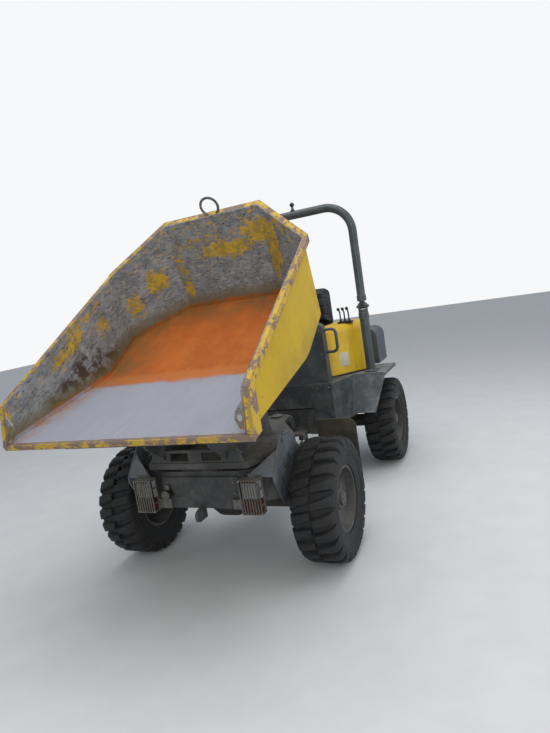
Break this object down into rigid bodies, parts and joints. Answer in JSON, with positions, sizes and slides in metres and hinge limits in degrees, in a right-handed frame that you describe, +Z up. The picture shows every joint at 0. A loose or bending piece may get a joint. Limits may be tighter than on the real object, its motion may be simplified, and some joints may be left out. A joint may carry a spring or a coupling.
{
  "type": "site_dumper",
  "caption": "Worn swivel-skip site dumper, articulated, four-wheel drive, with a yellow open skip tipped part way forward, open driver's seat and folding roll bar.",
  "frame": {"origin": "On the ground under the middle of the machine's bounding box.", "axes": "+X is the machine's left side, -Y is forward, +Z is up."},
  "size_m": [2.111, 4.385, 3.1018],
  "materials": {
    "yellow_paint": "satin",
    "grey_steel": "satin",
    "dark_paint": "satin",
    "green_grey": "satin",
    "bare_steel": "brushed",
    "chrome_rod": "polished",
    "cast": "matte",
    "rim_paint": "matte",
    "tyre_rubber": "matte",
    "black_plastic": "matte",
    "seat_cover": "satin",
    "lamp_glass": "clear",
    "marker_glass": "clear"
  },
  "bodies": {
    "rear_chassis": {"rear_frame": "grey_steel", "rear_axle": "cast", "engine_block": "cast", "platform": "dark_paint", "fender_left": "grey_steel", "fender_right": "grey_steel", "cowl": "dark_paint", "steering_wheel": "black_plastic", "grab_handles": "dark_paint", "rear_cover": "dark_paint", "tail_lamps": "marker_glass", "exhaust_pipe": "bare_steel", "roll_bar_legs": "green_grey"},
    "hood": {"hood": "yellow_paint", "seat_base": "black_plastic", "levers": "black_plastic", "seat_cushion": "seat_cover", "seat_back": "seat_cover"},
    "roll_hoop": {"roll_hoop": "green_grey"},
    "pivot": {"pivot_block": "cast"},
    "front_chassis": {"front_frame": "grey_steel", "front_axle": "cast", "mud_plates": "dark_paint", "lamp_guards": "bare_steel", "head_lamps": "lamp_glass", "front_markers": "marker_glass", "horn": "black_plastic", "slew_ring": "cast"},
    "turntable": {"turntable": "grey_steel"},
    "tip_barrel": {"tip_cylinder_barrel": "dark_paint"},
    "tip_rod": {"tip_cylinder_rod": "chrome_rod"},
    "steer_barrel": {"steer_cylinder_barrel": "dark_paint"},
    "steer_rod": {"steer_cylinder_rod": "chrome_rod"},
    "skip": {"skip_shell": "yellow_paint", "skip_rim": "yellow_paint", "skip_frame": "grey_steel", "lifting_ring": "bare_steel"},
    "wheel_front_left": {"tyre_front_left": "tyre_rubber", "rim_front_left": "rim_paint"},
    "wheel_front_right": {"tyre_front_right": "tyre_rubber", "rim_front_right": "rim_paint"},
    "wheel_rear_left": {"tyre_rear_left": "tyre_rubber", "rim_rear_left": "rim_paint"},
    "wheel_rear_right": {"tyre_rear_right": "tyre_rubber", "rim_rear_right": "rim_paint"}
  },
  "joints": [
    {"name": "oscillation", "type": "hinge", "parent": "rear_chassis", "child": "pivot", "pos_m": [0, 0.38852, 0.735], "axis": [0, 1, 0], "range_deg": [-12, 12]},
    {"name": "steering", "type": "hinge", "parent": "pivot", "child": "front_chassis", "pos_m": [0, 0.26152, 0.735], "axis": [0, 0, 1], "range_deg": [-33, 33]},
    {"name": "swivel", "type": "hinge", "parent": "front_chassis", "child": "turntable", "pos_m": [0, -0.91148, 0.9], "axis": [0, 0, 1], "range_deg": [-90, 90]},
    {"name": "tip", "type": "hinge", "parent": "turntable", "child": "skip", "pos_m": [0, -1.51148, 1.2], "axis": [1, 0, 0], "range_deg": [-32, 43]},
    {"name": "tip_barrel_swing", "type": "hinge", "parent": "turntable", "child": "tip_barrel", "pos_m": [0, -0.73148, 0.992], "axis": [1, 0, 0], "range_deg": [-3, 3]},
    {"name": "tip_rod_slide", "type": "slide", "parent": "tip_barrel", "child": "tip_rod", "axis": [0, -0.8251, 0.565], "range_m": [-0.145, 0.195]},
    {"name": "steer_barrel_swing", "type": "hinge", "parent": "front_chassis", "child": "steer_barrel", "pos_m": [0.33, -0.43148, 0.56], "axis": [0, 0, 1], "range_deg": [-4, 4]},
    {"name": "steer_rod_slide", "type": "slide", "parent": "steer_barrel", "child": "steer_rod", "axis": [-0.1585, 0.9874, 0], "range_m": [-0.125, 0.125]},
    {"name": "hood_hinge", "type": "hinge", "parent": "rear_chassis", "child": "hood", "pos_m": [0, 1.54452, 1.6], "axis": [-1, 0, 0], "range_deg": [0, 45]},
    {"name": "roll_bar_fold", "type": "hinge", "parent": "rear_chassis", "child": "roll_hoop", "pos_m": [0, 1.03852, 1.86], "axis": [-1, 0, 0], "range_deg": [0, 90]},
    {"name": "wheel_front_left", "type": "hinge", "parent": "front_chassis", "child": "wheel_front_left", "pos_m": [0.885, -0.91148, 0.485], "axis": [1, 0, 0], "continuous": true},
    {"name": "wheel_front_right", "type": "hinge", "parent": "front_chassis", "child": "wheel_front_right", "pos_m": [-0.885, -0.91148, 0.485], "axis": [1, 0, 0], "continuous": true},
    {"name": "wheel_rear_left", "type": "hinge", "parent": "rear_chassis", "child": "wheel_rear_left", "pos_m": [0.885, 1.43452, 0.485], "axis": [1, 0, 0], "continuous": true},
    {"name": "wheel_rear_right", "type": "hinge", "parent": "rear_chassis", "child": "wheel_rear_right", "pos_m": [-0.885, 1.43452, 0.485], "axis": [1, 0, 0], "continuous": true}
  ],
  "couplings": [
    {"joint": "tip_barrel_swing", "follows": "tip", "ratio": 0.02},
    {"joint": "tip_rod_slide", "follows": "tip", "m_per_rad": 0.2505},
    {"joint": "steer_barrel_swing", "follows": "steering", "ratio": -0.092},
    {"joint": "steer_rod_slide", "follows": "steering", "m_per_rad": -0.2052}
  ]
}
